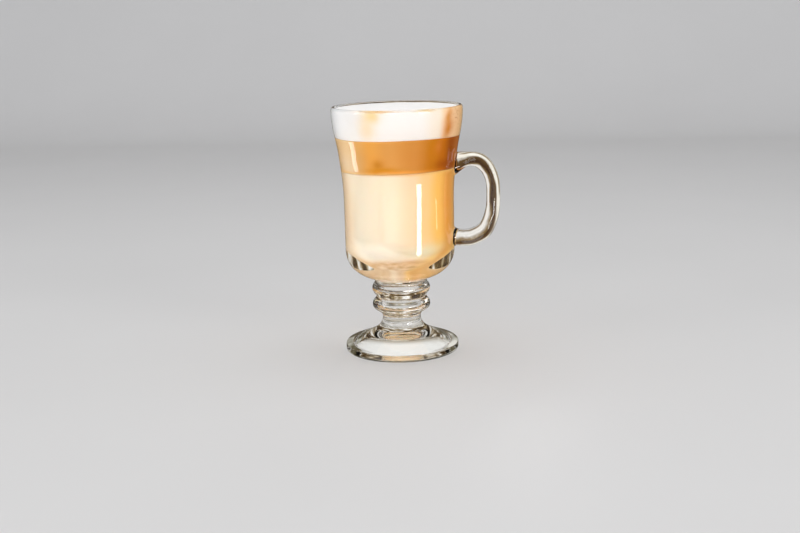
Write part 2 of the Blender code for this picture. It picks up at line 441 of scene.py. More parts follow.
def seam_weight(points):
    """1 on the line where handle and bowl meet, 0 a fillet away from it."""
    radius = np.hypot(points[:, 0] - AXIS_X, points[:, 1])
    off_bowl = np.abs(radius - outside_radius(points[:, 2]))
    best = np.full(len(points), 1.0)
    for low, high in ((UPPER_ROOT_LOW, HANDLE_TOP), (HANDLE_BOTTOM, LOWER_ROOT_HIGH)):
        middle, half = (low + high) / 2, (high - low) / 2
        oval = np.hypot((points[:, 2] - middle) / half, points[:, 1] / (HANDLE_ROOT_WIDTH / 2))
        best = np.minimum(best, np.abs(oval - 1.0) * half)
    near = np.hypot(off_bowl, best)
    weight = np.clip(1.0 - near / FILLET, 0.0, 1.0)
    weight[points[:, 0] < AXIS_X + 20 * MM] = 0.0
    return weight


def clean_seam(mesh):
    """Points nearer than a sliver become one, and faces with over four corners triangles."""
    skin = bmesh.new()
    skin.from_mesh(mesh)
    bmesh.ops.remove_doubles(skin, verts=skin.verts, dist=SLIVER)
    many = [face for face in skin.faces if len(face.verts) > 4]
    bmesh.ops.triangulate(skin, faces=many, quad_method='BEAUTY', ngon_method='BEAUTY')
    print("edges of the glass that aren't between two faces:",
          sum(len(edge.link_faces) != 2 for edge in skin.edges))
    skin.to_mesh(mesh)
    skin.free()


# %% [markdown]
# Now the mug itself: the whole outline is thinned to some 300 rings, spun, joined with the
# handle, cleaned and relaxed. The volume that is printed is the glass alone.

# %% The glass as one skin
TURNS = 128
RING_SPAN, RING_BEND = 1.6 * MM, 9.0        # the most length and degrees between two rings


def make_glass():
    """Spun outline, united with the handle, and relaxed along the seam."""
    rings = thin_out(np.vstack([OUTSIDE, INSIDE[1:]]), RING_SPAN, RING_BEND)
    body = turned_sheet(rings[1:-1], TURNS)
    low = (AXIS_X, 0.0, rings[0, 1])
    high = (AXIS_X, 0.0, rings[-1, 1])
    glass = put("glass_mug", closed_mesh("glass_mug", body, low, high))
    outward(glass.data)
    handle = put("handle_tool", closed_mesh("handle_tool", handle_sheet()))
    outward(handle.data)
    union = glass.modifiers.new("union", 'BOOLEAN')
    union.operation = 'UNION'
    union.solver = 'MANIFOLD'
    union.object = handle
    apply_modifiers(glass)
    bpy.data.objects.remove(handle)
    mesh = glass.data
    clean_seam(mesh)
    points = np.empty(len(mesh.vertices) * 3)
    mesh.vertices.foreach_get("co", points)
    weight = seam_weight(points.reshape(-1, 3))
    group = glass.vertex_groups.new(name="seam")
    for index in np.flatnonzero(weight):
        group.add([int(index)], float(weight[index]), 'REPLACE')
    relax = glass.modifiers.new("relax", 'SMOOTH')
    relax.vertex_group = "seam"
    relax.factor = 0.6
    relax.iterations = 12
    apply_modifiers(glass)
    glass.vertex_groups.clear()
    glass.data.shade_smooth()
    print("glass", len(glass.data.vertices), "points", outward(glass.data) * 1e6, "ml")
    return glass


glass = make_glass()

# %% [markdown]
# The drink wets the wall: each layer reaches 0.2 mm into the glass, so no air shows between
# them. Where two layers meet, the line wanders by less than a millimetre round the glass,
# because the coffee was poured in. That line is a sum of three slow waves of the turn angle.

# %% Lines between the layers
WETTING = 0.2 * MM
DRINK_TURNS = 192
TURN = np.arange(DRINK_TURNS) * 2 * math.pi / DRINK_TURNS


def wander(sizes, starts):
    """Sum of size_k x cos(k x turn + start_k), for k = 1, 2, 3 and so on, in millimetres."""
    waves = [size * np.cos((k + 1) * TURN + start)
             for k, (size, start) in enumerate(zip(sizes, starts))]
    return MM * np.sum(waves, axis=0)


MILK_LINE = MILK_LEVEL + wander((0.25, 0.3, 0.15), (0.4, 2.0, 1.0))
COFFEE_LINE = COFFEE_LEVEL + wander((0.2, 0.3, 0.2), (2.4, 0.6, 4.0))


def layer_sheet(low_line, high_line, side_rows):
    """Side points between two lines, on the wall's inside plus the wetting."""
    share = np.linspace(0.0, 1.0, side_rows)[:, None]
    up = low_line + (high_line - low_line) * share
    across = inside_radius(up) + WETTING
    return np.stack([AXIS_X + across * np.cos(TURN), across * np.sin(TURN), up], axis=-1)


def lid_sheet(edge, centre_up, shares):
    """Rows from a rim of points in to the middle: radius x share, height eased to the middle."""
    middle = np.array([AXIS_X, 0.0, centre_up])
    share = np.asarray(shares)[:, None, None]
    rows = middle + (edge[None] - middle) * share
    rows[:, :, 2] = centre_up + (edge[None, :, 2] - centre_up) * share[:, :, 0] ** 2
    return rows


LID_SHARES = (0.985, 0.93, 0.8, 0.6, 0.35, 0.12)
UNDER = 0.6 * MM                # a hidden lid dips this much below its line
OVERLAP = 1.5 * UNDER           # and the floor on it more, so that layers overlap inside

# %% [markdown]
# Milk and coffee are closed bodies. The milk follows the bowl's rounded bottom, moved out by
# the wetting along the wall's own normal. The coffee is a plain drum.

# %% Milk and coffee
def make_milk():
    """The bottom's profile spun, then a side up to the milk's line, then a lid."""
    bowl = INSIDE[INSIDE[:, 1] < CAVITY_SHOULDER][::-1]
    slope = np.gradient(bowl, axis=0)
    slope /= np.linalg.norm(slope, axis=1)[:, None]
    bowl = bowl + WETTING * np.column_stack([slope[:, 1], -slope[:, 0]])
    bowl[0, 0] = 0.0
    bowl = thin_out(bowl, 1.5 * MM, 6.0)
    bottom = np.stack([AXIS_X + bowl[1:, :1] * np.cos(TURN), bowl[1:, :1] * np.sin(TURN),
                       np.repeat(bowl[1:, 1:], DRINK_TURNS, axis=1)], axis=-1)
    start = np.full(DRINK_TURNS, bowl[-1, 1] + 1.5 * MM)
    side = layer_sheet(start, MILK_LINE, 32)
    lid = lid_sheet(side[-1], MILK_LEVEL - UNDER, LID_SHARES)
    sheet = np.concatenate([bottom, side, lid])
    mesh = closed_mesh("milk_layer", sheet, (AXIS_X, 0, bowl[0, 1]),
                       (AXIS_X, 0, MILK_LEVEL - UNDER))
    return put("milk_layer", mesh)


def make_coffee():
    """A floor that faces down, a side between the two lines, and a lid."""
    side = layer_sheet(MILK_LINE, COFFEE_LINE, 16)
    floor = lid_sheet(side[0], MILK_LEVEL - OVERLAP, LID_SHARES)[::-1]
    lid = lid_sheet(side[-1], COFFEE_LEVEL - UNDER, LID_SHARES)
    mesh = closed_mesh("coffee_layer", np.concatenate([floor, side, lid]),
                       (AXIS_X, 0, MILK_LEVEL - OVERLAP), (AXIS_X, 0, COFFEE_LEVEL - UNDER))
    return put("coffee_layer", mesh)


# %% [markdown]
# The foam has the one surface that is open to the air. Dense milk foam settles in slow
# swells, and small bubbles burst at its skin and leave round pits. Both are real shape here,
# so they catch the overhead light from any side. They fade out at the wall, which the foam
# meets in a clean line.

# %% Foam
FOAM_RINGS = 150
FOAM_SWELL = 0.8 * MM           # the head's middle over its edge
FOAM_DIP = 0.3 * MM             # inside the edge
SWELLS, SWELL_SIZE, SWELL_TURN = 7, 0.07 * MM, 6.28     # a wave's full turn in radians
FOAM_PITS, PIT_REACH, PIT_DEPTH = 260, 34 * MM, 0.35    # a pit's depth as a share of its width
FOAM_EDGE = float(inside_radius(FOAM_LEVEL - FOAM_SWELL)) + WETTING


def foam_height(x, y):
    """Seven slow waves in random directions, each size x sin(2 pi x way / length + start),
    and round pits, each -depth x exp(-(distance / width)^2)."""
    random = np.random.default_rng(7)
    height = np.zeros_like(x)
    for _ in range(SWELLS):
        turn = random.uniform(0, 2 * math.pi)
        wave = random.uniform(9, 24) * MM
        start = random.uniform(0, 6)
        across = x * math.cos(turn) + y * math.sin(turn)
        height += SWELL_SIZE * np.sin(across / wave * SWELL_TURN + start)
    radius = PIT_REACH * np.sqrt(random.uniform(0, 1, FOAM_PITS))
    angle = random.uniform(0, 2 * math.pi, FOAM_PITS)
    size = random.gamma(2.0, 0.17, FOAM_PITS) * MM + 0.18 * MM
    for px, py, width in zip(radius * np.cos(angle), radius * np.sin(angle), size):
        near = np.exp(-((x - px) ** 2 + (y - py) ** 2) / width ** 2)
        height -= PIT_DEPTH * width * near
    return height


def make_foam():
    """A thick head: a floor, a side up to a level edge, and rings in to a top that stands
    0.8 mm x (1 - share^2) over the edge, less a small dip, plus the swells and pits."""
    edge_up = np.full(DRINK_TURNS, FOAM_LEVEL - FOAM_SWELL)
    side = layer_sheet(COFFEE_LINE, edge_up, 18)
    floor = lid_sheet(side[0], COFFEE_LEVEL - OVERLAP, LID_SHARES)[::-1]
    share = np.linspace(1.0, 0.0, FOAM_RINGS + 1)[1:-1][:, None]
    across = FOAM_EDGE * share
    x, y = across * np.cos(TURN), across * np.sin(TURN)
    calm = 1.0 - share ** 12
    up = FOAM_LEVEL - FOAM_SWELL * share ** 2 - FOAM_DIP * calm + foam_height(x, y) * calm
    top = np.stack([AXIS_X + x, y, up], axis=-1)
    mesh = closed_mesh("foam_head", np.concatenate([floor, side, top]),
                       (AXIS_X, 0, COFFEE_LEVEL - OVERLAP), (AXIS_X, 0, float(up[-1].mean())))
    return put("foam_head", mesh)


# %% The three layers
milk = make_milk()
coffee = make_coffee()
foam = make_foam()
for piece in (milk, coffee, foam):
    print(piece.name, len(piece.data.vertices), "points", outward(piece.data) * 1e6, "ml")

# %% [markdown]
# Materials are chains of small nodes. This helper adds one node, sets its sockets from
# numbers or from other nodes' outputs, and hands back its first output, so that a formula
# reads from the inside out.

# %% A helper for node trees
def node(tree, kind, sockets=(), out=0, **settings):
    """A new node; sockets is a dict of name or number to a value or another node's output."""
    made = tree.nodes.new(kind)
    for key, value in settings.items():
        setattr(made, key, value)
    for key, value in dict(sockets).items():
        if isinstance(value, bpy.types.NodeSocket):
            tree.links.new(value, made.inputs[key])
        else:
            made.inputs[key].default_value = value
    return made.outputs[out]


def parts_of(tree, vector):
    """The x, y and z of a vector, as three outputs."""
    made = tree.nodes.new("ShaderNodeSeparateXYZ")
    tree.links.new(vector, made.inputs[0])
    return made.outputs


def maths(tree, operation, a, b=0.0):
    """One step of arithmetic on two numbers or outputs."""
    return node(tree, "ShaderNodeMath", {0: a, 1: b}, operation=operation)


def blend(tree, share, low, high):
    """Mix of two colours: low x (1 - share) + high x share."""
    made = tree.nodes.new("ShaderNodeMix")
    made.data_type = 'RGBA'
    for socket, value in ((made.inputs[0], share), (made.inputs[6], low), (made.inputs[7], high)):
        if isinstance(value, bpy.types.NodeSocket):
            tree.links.new(value, socket)
        else:
            socket.default_value = value if socket.type == 'VALUE' else (*value[:3], 1.0)
    return made.outputs[2]


# %% [markdown]
# Colours are easier to name as a screen shows them, from 0 to 255, while shaders count in
# light. A ramp then carries a coordinate through a few such colours.

# %% Colours, ramps and materials
def ramp(tree, value, stops, interpolation='EASE'):
    """A colour ramp through (place, colour) stops."""
    made = tree.nodes.new("ShaderNodeValToRGB")
    made.color_ramp.interpolation = interpolation
    elements = made.color_ramp.elements
    while len(elements) < len(stops):
        elements.new(0.5)
    for element, (place, colour) in zip(elements, stops):
        element.position = place
        element.color = (*colour, 1.0)
    tree.links.new(value, made.inputs[0])
    return made.outputs[0]


def linear(red, green, blue):
    """A colour named in screen values from 0 to 255, as the linear values that shaders use."""
    screen = np.array([red, green, blue]) / 255.0
    return tuple(np.where(screen < 0.04045, screen / 12.92, ((screen + 0.055) / 1.055) ** 2.4))


def new_material(name):
    """A material with its tree and its Principled shader."""
    material = bpy.data.materials.new(name)
    material.use_nodes = True
    tree = material.node_tree
    shader = tree.nodes["Principled BSDF"]
    return material, tree, shader


# %% [markdown]
# A drink in a round glass is patterned round and up, not along X and Y. Two coordinates are
# worked out from the object's own: the turn about the mug's axis and the height. Soft patches
# and a little noise on these coordinates then make the clouds and stains of a poured drink,
# and also painted light and shade: paler where light falls, darker where shade falls, and a
# painted reflection. The patterns stay on the object, wherever it is seen from.

# %% Patterns that go round the glass
def around_and_up(tree):
    """Share of the turn = arctangent(x / -y) / (2 pi) + 1/2, from 0 behind the mug; height in
    metres; and the place itself."""
    place = node(tree, "ShaderNodeTexCoord", out=3)
    x, y, up = parts_of(tree, place)
    turn = maths(tree, 'ARCTAN2', maths(tree, 'SUBTRACT', x, AXIS_X),
                 maths(tree, 'MULTIPLY', y, -1.0))
    share = maths(tree, 'ADD', maths(tree, 'DIVIDE', turn, 2 * math.pi), 0.5)
    return share, up, place


def turn_share(degrees):
    """Share = 1/2 + degrees / 360, counted from the camera's side of the mug towards +X."""
    return 0.5 + (degrees + math.degrees(CAMERA_ASIDE)) / 360.0


def round_ramp(tree, share, stops):
    """A ramp round the glass through (degrees, screen colour) stops."""
    return ramp(tree, share, [(turn_share(degrees), linear(*tint)) for degrees, tint in stops])


def spot(tree, share, up, degrees, height, wide, tall, lean=0.0):
    """A soft patch: exp(-(turn away / wide)^2 - (height away / tall)^2), with the turns in
    degrees, the heights in metres, and lean in degrees of turn for each metre up."""
    at = node(tree, "ShaderNodeCombineXYZ", {0: share, 1: up})
    away = node(tree, "ShaderNodeVectorMath", {0: at, 1: (turn_share(degrees), height, 0.0)},
                operation='SUBTRACT')
    turn_away, up_away, _ = parts_of(tree, away)
    turned = maths(tree, 'SUBTRACT', maths(tree, 'MULTIPLY', turn_away, 360.0 / wide),
                   maths(tree, 'MULTIPLY', up_away, lean / wide))
    raised = maths(tree, 'MULTIPLY', up_away, 1.0 / tall)
    square = maths(tree, 'ADD', maths(tree, 'MULTIPLY', turned, turned),
                   maths(tree, 'MULTIPLY', raised, raised))
    return maths(tree, 'EXPONENT', maths(tree, 'MULTIPLY', square, -1.0))


def stains_and_painted_light(tree, colour, share, up, patches):
    """Lays soft patches on a colour, real stains and painted light and shade alike; a patch is
    (strength, colour, then what spot() takes).
    """
    for strength, tint, *place in patches:
        amount = maths(tree, 'MULTIPLY', spot(tree, share, up, *place), strength)
        colour = blend(tree, amount, colour, tint)
    return colour


def wobbled(tree, value, place, scale, size, detail=2.0):
    """A coordinate that wanders: value + (noise - 0.5) x size."""
    noise = node(tree, "ShaderNodeTexNoise", {"Vector": place, "Scale": scale, "Detail": detail})
    return maths(tree, 'ADD', value,
                 maths(tree, 'MULTIPLY', maths(tree, 'SUBTRACT', noise, 0.5), size))


# %% [markdown]
# Clear glass is one shader with full transmission and the index of soda-lime glass. Two
# things make it look pressed and not computed: a very slight ripple, which bends what is
# seen through it, and light that passes straight through for shadows. A path tracer finds
# lamps behind glass badly, so a mix with a Transparent shader lets the lamps' rays through.

# %% Clear glass
def clear_glass():
    """Principled glass, and for shadow rays a plain way through."""
    material, tree, shader = new_material("clear_glass")
    shader.inputs["Base Color"].default_value = (0.985, 0.985, 0.975, 1.0)
    shader.inputs["Transmission Weight"].default_value = 1.0
    shader.inputs["IOR"].default_value = 1.5
    shader.inputs["Roughness"].default_value = 0.0
    place = node(tree, "ShaderNodeTexCoord", out=3)
    ripple = node(tree, "ShaderNodeTexNoise", {"Vector": place, "Scale": 70.0, "Detail": 1.0})
    bump = node(tree, "ShaderNodeBump",
                {"Height": ripple, "Strength": 0.06, "Distance": 0.0012})
    tree.links.new(bump, shader.inputs["Normal"])
    path = node(tree, "ShaderNodeLightPath", out=1)
    let_through = node(tree, "ShaderNodeBsdfTransparent")
    both = node(tree, "ShaderNodeMixShader", {0: path, 1: shader.outputs[0], 2: let_through})
    output = tree.nodes["Material Output"]
    tree.links.new(both, output.inputs["Surface"])
    return material


# %% [markdown]
# The drinks are dense, so their colour is on their skin: a base colour that changes slowly
# round the glass, plus cloudy unevenness. The change round the glass is partly painted light
# and shade: pale on the lit side, golden and darker in the shade towards the handle. Behind
# glass there is no air at the skin and so nearly no gloss of its own.

# %% The skin of a drink
def drink_skin(shader, roughness):
    """Nearly no gloss: the glass in front of the drink has it."""
    shader.inputs["Roughness"].default_value = roughness
    shader.inputs["Specular IOR Level"].default_value = 0.08


def light_under_skin(shader, weight, radius, scale):
    """How much light spreads under the skin, how far for red, green and blue, times a scale."""
    shader.inputs["Subsurface Weight"].default_value = weight
    shader.inputs["Subsurface Radius"].default_value = radius
    shader.inputs["Subsurface Scale"].default_value = scale


# %% [markdown]
# The milk is cream-coloured and a little see-through at its edge, so light spreads under its
# skin. Round the glass its colour is partly coffee that has sunk through it and partly painted
# light and shade: pale on the lit left and front, golden and darker in the shade on the
# handle's side. Two pale patches low down are painted light on the rounded bottom, which lies
# in shade. Under them an ochre band and ochre flecks lie along the rounded bottom.

# %% Milk
FLECKS = linear(204, 150, 86)


def milk_material():
    """Ramp round the turn, then patches, then flecks near the bottom."""
    material, tree, shader = new_material("milk")
    drink_skin(shader, 0.5)
    share, up, place = around_and_up(tree)
    share = wobbled(tree, share, place, 28.0, 0.05, 3.0)
    up = wobbled(tree, up, place, 60.0, 3.0 * MM)
    # The ramp is partly painted light and shade: paler on the lit left and front, golden and darker
    # in the shade on the handle's side.
    colour = round_ramp(tree, share, [
        (-180, (253, 226, 188)), (-75, (238, 214, 182)), (-45, (252, 238, 215)),
        (-10, (255, 234, 208)), (14, (254, 220, 184)), (28, (254, 210, 148)),
        (47, (254, 200, 106)), (64, (236, 166, 74)), (86, (240, 184, 104)),
        (125, (253, 226, 188))])
    # The first two patches are painted light, which lifts the shaded rounded bottom.
    colour = stains_and_painted_light(tree, colour, share, up, [
        (0.6, linear(255, 240, 222), -28, 0.064, 26, 6 * MM),
        (0.8, linear(255, 243, 208), 26, 0.0635, 26, 5 * MM),
        (0.7, linear(240, 190, 130), 0, 0.0565, 200, 2.2 * MM),
        (0.4, linear(206, 140, 80), 18, 0.058, 14, 1.2 * MM),
        (0.55, linear(250, 196, 116), 0, MILK_LEVEL, 2000, 0.9 * MM)])
    flecks = node(tree, "ShaderNodeTexNoise", {"Vector": place, "Scale": 240.0, "Detail": 4.0})
    flecks = node(tree, "ShaderNodeMapRange", {0: flecks, 1: 0.38, 2: 0.66})
    amount = maths(tree, 'MULTIPLY', flecks, spot(tree, share, up, -10, 0.0560, 90, 2.0 * MM))
    colour = blend(tree, maths(tree, 'MULTIPLY', amount, 0.8), colour, FLECKS)
    tree.links.new(colour, shader.inputs["Base Color"])
    light_under_skin(shader, 0.25, (1.0, 0.7, 0.4), 4.0 * MM)
    return material


# %% [markdown]
# The coffee was poured through the foam and floats on the milk. It is thicker, so it gets no
# light under its skin: its depth is in the ramp, from pale caramel on the left to dark amber
# near the handle, with darker clouds low down and a soft change to milk at its foot. The
# ramp's pale left is partly painted light, and its dark amber near the handle partly painted
# shade. A pale patch at the far left is painted light, a dark patch on the handle's side is
# painted shade, and a faint pinkish spot above it is a painted reflection.

# %% Coffee
def coffee_material():
    """Ramp round the turn, then patches, then milk x (1 - share) + coffee x share, where the
    share rises from 0 to 1 over the lowest 2.4 mm."""
    material, tree, shader = new_material("milky_coffee")
    drink_skin(shader, 0.45)
    share, up, place = around_and_up(tree)
    share = wobbled(tree, share, place, 45.0, 0.03, 4.0)
    up = wobbled(tree, up, place, 90.0, 2.0 * MM, 3.0)
    # Partly painted light and shade: paler on the lit left, darker in the shade near the handle.
    colour = round_ramp(tree, share, [
        (-180, (220, 148, 62)), (-70, (243, 205, 152)), (-53, (246, 212, 162)),
        (-42, (237, 180, 104)), (-28, (239, 172, 82)), (-8, (228, 164, 86)),
        (14, (219, 149, 68)), (36, (204, 126, 14)), (50, (198, 112, 0)), (64, (160, 80, 0)),
        (80, (190, 110, 30)), (120, (220, 148, 62))])
    low = MILK_LEVEL
    # The first patch is painted light, the fifth painted shade and the sixth a painted reflection.
    colour = stains_and_painted_light(tree, colour, share, up, [
        (0.6, linear(246, 226, 196), -62, low + 5.0 * MM, 14, 7.0 * MM),
        (0.85, linear(204, 132, 30), -21, low + 5.5 * MM, 6, 3.0 * MM),
        (0.85, linear(216, 142, 14), -16, low + 2.4 * MM, 17, 1.7 * MM),
        (0.8, linear(248, 170, 72), 8, low + 1.4 * MM, 24, 0.9 * MM),
        (0.7, linear(154, 72, 0), 56, low + 4.4 * MM, 16, 2.8 * MM),
        (0.35, linear(232, 146, 70), 44, 0.1245, 5, 4.5 * MM)])
    above = maths(tree, 'DIVIDE', maths(tree, 'SUBTRACT', up, low - 0.9 * MM), 2.4 * MM)
    mixed = node(tree, "ShaderNodeClamp", {0: above})
    colour = blend(tree, mixed, linear(252, 206, 140), colour)
    tree.links.new(colour, shader.inputs["Base Color"])
    return material


# %% [markdown]
# The foam is white. Round its side a ramp paints shade: warm and darker towards the handle,
# greyer at the far left. On the side lie a pale gold patch on the left, a brown streak on the
# right and a thin line at the lip. These lie on its side alone, so a mask turns the open top
# back to white. A few bubbles show as dots.

# %% White top of the foam
FOAM_WHITE = linear(253, 250, 245)


def open_top(tree, place):
    """1 on the open top: how far in from the edge, over 0.3 to 1.5 mm, x how much the
    normal points up."""
    away = node(tree, "ShaderNodeVectorMath", {0: place, 1: (AXIS_X, 0.0, 0.0)},
                operation='SUBTRACT')
    flat = node(tree, "ShaderNodeVectorMath", {0: away, 1: (1.0, 1.0, 0.0)},
                operation='MULTIPLY')
    radius = node(tree, "ShaderNodeVectorMath", {0: flat}, out=1, operation='LENGTH')
    inward = node(tree, "ShaderNodeMapRange",
                  {0: radius, 1: FOAM_EDGE - 0.3 * MM, 2: FOAM_EDGE - 1.5 * MM})
    facing = node(tree, "ShaderNodeNewGeometry", out=1)
    upward = node(tree, "ShaderNodeMapRange", {0: parts_of(tree, facing)[2], 1: 0.3, 2: 0.8})
    return maths(tree, 'MULTIPLY', inward, upward)


# %% Foam
def foam_material():
    """Ramp round the turn, then patches, then dots, then the white top."""
    material, tree, shader = new_material("milk_foam")
    drink_skin(shader, 0.6)
    share, up, place = around_and_up(tree)
    share = wobbled(tree, share, place, 120.0, 0.016, 3.0)
    up = wobbled(tree, up, place, 120.0, 1.5 * MM, 3.0)
    # The ramp is painted shade: warm and darker towards the handle, greyer at the far left.
    colour = round_ramp(tree, share, [
        (-180, (251, 246, 238)), (-80, (240, 242, 244)), (-45, (252, 250, 248)),
        (20, (250, 246, 242)), (40, (252, 240, 224)), (47, (255, 222, 182)),
        (76, (252, 207, 152)), (110, (251, 246, 238))])
    colour = stains_and_painted_light(tree, colour, share, up, [
        (0.9, linear(246, 214, 140), -23, 0.1425, 8, 3.6 * MM),
        (0.75, linear(250, 222, 180), -28, 0.136, 8, 8.0 * MM),
        (0.75, linear(226, 140, 6), 52, 0.1405, 4.4, 5.5 * MM, 300),
        (0.9, linear(214, 128, 6), 53, 0.1340, 7.0, 6.0 * MM, 300),
        (0.7, linear(236, 176, 84), -16, 0.1450, 18, 0.7 * MM),
        (0.7, linear(232, 190, 100), 26, 0.1450, 10, 0.7 * MM)])
    dots = node(tree, "ShaderNodeTexVoronoi", {"Vector": place, "Scale": 700.0})
    dots = node(tree, "ShaderNodeMapRange", {0: dots, 1: 0.34, 2: 0.22})
    dots = maths(tree, 'MULTIPLY', dots, spot(tree, share, up, 68, 0.1415, 12, 4.0 * MM))
    colour = blend(tree, dots, colour, linear(196, 116, 70))
    colour = blend(tree, open_top(tree, place), colour, FOAM_WHITE)
    tree.links.new(colour, shader.inputs["Base Color"])
    bubbles = node(tree, "ShaderNodeTexVoronoi", {"Vector": place, "Scale": 1400.0})
    bump = node(tree, "ShaderNodeBump", {"Height": bubbles, "Strength": 0.25, "Distance": 0.0003})
    tree.links.new(bump, shader.inputs["Normal"])
    light_under_skin(shader, 0.1, (1.0, 0.9, 0.8), 1.5 * MM)
    return material


# %% [markdown]
# Each piece gets its finish. Nothing moves, so all four ride on the one body, and each stands
# for the CAD solid of its name, which stays in the simulation and is hidden here.

# %% Give each piece its finish and its body, and hide its CAD node
for piece, material, slot, cad_node in (
        (glass, clear_glass(), "clear_glass", "glass"),
        (milk, milk_material(), "milk", "milk"),
        (coffee, coffee_material(), "milky_coffee", "coffee"),
        (foam, foam_material(), "milk_foam", "foam")):
    piece.data.materials.clear()
    piece.data.materials.append(material)
    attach(piece, "root")
    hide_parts(cad_node)
    print(piece.name, "has", len(material.node_tree.nodes), "nodes in its material")

# %% [markdown]
# The studio is a pale sweep: a floor that bends up into a wall, so that no horizon line cuts
# the picture. It is left out of mirror images, or the glass in front of the drink would wear
# a grey veil.

# %% Backdrop
def make_sweep():
    """Floor point = (x, y, 0); past the bend the sheet climbs a quarter circle and then a wall."""
    width, front, back, bend, wall = 3.0, -1.6, 1.1, 0.5, 2.2
    turn = np.linspace(0.0, math.pi / 2, 24)
    y = np.concatenate([[front], back + bend * np.sin(turn), [back + bend]])
    z = np.concatenate([[0.0], bend - bend * np.cos(turn), [wall]])
    x = np.linspace(-width, width, 2)
    points = np.stack([np.repeat(x, len(y)), np.tile(y, 2), np.tile(z, 2)], axis=-1)
    here = np.arange(len(y) - 1)
    faces = np.column_stack([here + len(y), here + 1 + len(y), here + 1, here])
    mesh = bpy.data.meshes.new("sweep")
    mesh.from_pydata(points.reshape(-1, 3), [], faces.tolist())
    sweep = put("sweep", mesh)
    material, tree, shader = new_material("paper")
    place = node(tree, "ShaderNodeTexCoord", out=3)
    grain = node(tree, "ShaderNodeTexNoise", {"Vector": place, "Scale": 6.0, "Detail": 2.0})
    colour = blend(tree, grain, (0.67, 0.66, 0.645), (0.70, 0.69, 0.675))
    tree.links.new(colour, shader.inputs["Base Color"])
    shader.inputs["Roughness"].default_value = 0.7
    mesh.materials.append(material)
    sweep.visible_glossy = False


make_sweep()

# %% [markdown]
# Clear glass has no colour of its own and only shows what lies round it. A studio is kept
# partly dark for it, which gives the glass thin dark lines where it turns away. The world does
# this here: it is pale for the light that falls on things, and dark for a ray that has only
# met glass. The colours are for a plain screen, without a film look.

# %% World
PALE, DARK = (0.93, 0.95, 1.0, 1.0), (0.15, 0.13, 0.10, 1.0)
ROOM_LIGHT = 0.72


def first_look(tree):
    """1 for a ray that has only met glass since the camera, 0 once a dull surface sent it on:
    the larger of glossy and transmitted, x (bounces off dull surfaces < 1/2)."""
    path = tree.nodes.new("ShaderNodeLightPath").outputs
    bent = maths(tree, 'MAXIMUM', path["Is Glossy Ray"], path["Is Transmission Ray"])
    return maths(tree, 'MULTIPLY', bent, maths(tree, 'LESS_THAN', path["Diffuse Depth"], 0.5))


def make_world():
    """Background colour = pale x (1 - first look) + dark x first look."""
    world = bpy.data.worlds.new("room")
    world.use_nodes = True
    tree = world.node_tree
    background = tree.nodes["Background"]
    tree.links.new(blend(tree, first_look(tree), PALE, DARK), background.inputs[0])
    background.inputs[1].default_value = ROOM_LIGHT
    return world


bpy.context.scene.world = make_world()
bpy.context.scene.view_settings.view_transform = 'Standard'

# %% [markdown]
# A plain world gives glass that is too clean: pressed glass shows a crowded room, bent into
# streaks. So glowing sheets stand round the mug, which only rays from glass can see. They
# light nothing and throw no shadow. The first is a round screen with cloudy streaks, open
# towards the camera. It shows in the stem's beads and at the bowl's foot.

# %% Room screen
def glass_only(name, points, faces, colour_of, mirrored=True):
    """A glowing sheet that only rays from glass see; colour_of(tree, place) gives its colour."""
    mesh = bpy.data.meshes.new(name)
    mesh.from_pydata(points, [], faces)
    screen = put(name, mesh)
    material, tree, shader = new_material(name)
    place = node(tree, "ShaderNodeTexCoord", out=3)
    glow = node(tree, "ShaderNodeEmission", {"Color": colour_of(tree, place)})
    gone = node(tree, "ShaderNodeBsdfTransparent")
    both = node(tree, "ShaderNodeMixShader", {0: first_look(tree), 1: gone, 2: glow})
    tree.links.new(both, tree.nodes["Material Output"].inputs["Surface"])
    mesh.materials.append(material)
    screen.visible_camera = screen.visible_diffuse = screen.visible_shadow = False
    screen.visible_glossy = mirrored


def room_round_the_mug(tree, place):
    """Noise + y / 2 + 0.4 x, through a ramp: upright streaks from dark brown to white, paler
    behind and to the right. Heights are halved, which makes the clouds twice as tall."""
    x, y, up = parts_of(tree, place)
    tall = node(tree, "ShaderNodeCombineXYZ", {0: x, 1: y, 2: maths(tree, 'MULTIPLY', up, 0.5)})
    cloud = node(tree, "ShaderNodeTexNoise",
                 {"Vector": tall, "Scale": 40.0, "Detail": 3.0, "Roughness": 0.55})
    tilt = maths(tree, 'ADD', maths(tree, 'MULTIPLY', y, 0.5), maths(tree, 'MULTIPLY', x, 0.4))
    return ramp(tree, maths(tree, 'ADD', cloud, tilt), [
        (0.45, (0.035, 0.016, 0.006)), (0.52, (0.10, 0.058, 0.020)), (0.56, (0.28, 0.20, 0.09)),
        (0.605, (0.56, 0.48, 0.36)), (0.67, (1.0, 0.98, 0.94))], 'LINEAR')


def upright_screen(reach=0.15, tall=0.45, sides=96, gap=40.0):
    """Points and faces of a round wall, from gap degrees beside the front to gap on the
    other side."""
    turn = np.radians(np.linspace(gap, 360.0 - gap, sides))
    ring = np.column_stack([AXIS_X + reach * np.sin(turn), -reach * np.cos(turn)])
    points = np.vstack([np.column_stack([ring, np.full(sides, up)]) for up in (0.0, tall)])
    here = np.arange(sides - 1)
    return points, np.column_stack([here, here + 1, here + sides + 1, here + sides]).tolist()


glass_only("room_screen", *upright_screen(), room_round_the_mug, mirrored=False)

# %% [markdown]
# The foot is a lens over its own hollow: one looks down through it at what it stands on. Glass
# gathers light into a bright patch there, which a path tracer with straight-through shadows
# doesn't find, so a glowing disc in the hollow is a painted pool of light: white in front and
# beige behind, painted shade where the drink shades it. The flat ring round the hollow gets
# glowing clouds of its own, painted light, because in a path tracer light that is caught in
# the foot's edge ends black.

# %% Sheets under the foot
SHEET_HEIGHT = 0.3 * MM
RING_EDGE = 32.9 * MM


